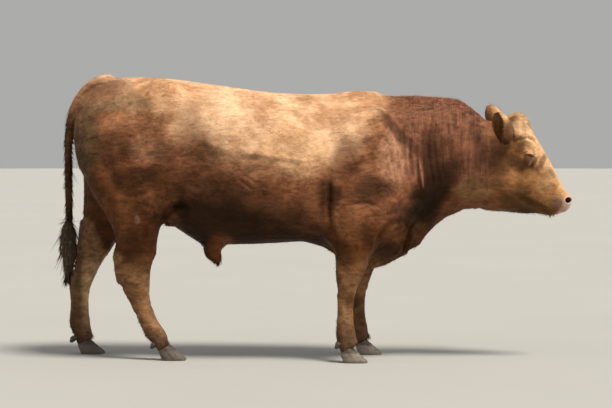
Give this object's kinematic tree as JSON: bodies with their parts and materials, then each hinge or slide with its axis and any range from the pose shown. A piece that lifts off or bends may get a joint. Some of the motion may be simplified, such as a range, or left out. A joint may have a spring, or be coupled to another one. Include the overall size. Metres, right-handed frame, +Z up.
{
  "type": "bull, a life-size standing model",
  "caption": "Life-size still model of a polled red-brown young beef bull standing square-on in profile, with a tufted tail, cloven feet and a heavy crest.",
  "frame": {"origin": "on the floor, under the middle of the whole animal's length and width", "axes": "+X forward to the nose, +Y to the animal's left, +Z up"},
  "size_m": [2.58, 0.654, 1.4313],
  "materials": {
    "coat": "short red-brown summer coat, lying flat",
    "nose_skin": "moist bare skin of the nose and lips",
    "horn": "dusty grey hoof horn with growth rings",
    "eye": "wet dark brown eye",
    "tail_hair": "matted dark tail hair"
  },
  "bodies": {
    "root": {"head": "coat", "lower_jaw": "coat", "muzzle": "nose_skin", "eye_right": "eye", "eye_left": "eye", "ear_right": "coat", "ear_left": "coat", "neck": "coat", "trunk": "coat", "sheath": "coat", "croup": "coat", "scrotum": "coat", "thigh_right": "coat", "gaskin_right": "coat", "hind_cannon_right": "coat", "hind_pastern_right": "coat", "hind_claw_right_outer": "horn", "hind_dewclaw_right_outer": "horn", "hind_claw_right_inner": "horn", "hind_dewclaw_right_inner": "horn", "forearm_right": "coat", "fore_cannon_right": "coat", "fore_pastern_right": "coat", "fore_claw_right_outer": "horn", "fore_dewclaw_right_outer": "horn", "fore_claw_right_inner": "horn", "fore_dewclaw_right_inner": "horn", "thigh_left": "coat", "gaskin_left": "coat", "hind_cannon_left": "coat", "hind_pastern_left": "coat", "hind_claw_left_outer": "horn", "hind_dewclaw_left_outer": "horn", "hind_claw_left_inner": "horn", "hind_dewclaw_left_inner": "horn", "forearm_left": "coat", "fore_cannon_left": "coat", "fore_pastern_left": "coat", "fore_claw_left_outer": "horn", "fore_dewclaw_left_outer": "horn", "fore_claw_left_inner": "horn", "fore_dewclaw_left_inner": "horn", "tail_dock": "coat", "tail_switch": "tail_hair"}
  },
  "joints": []
}
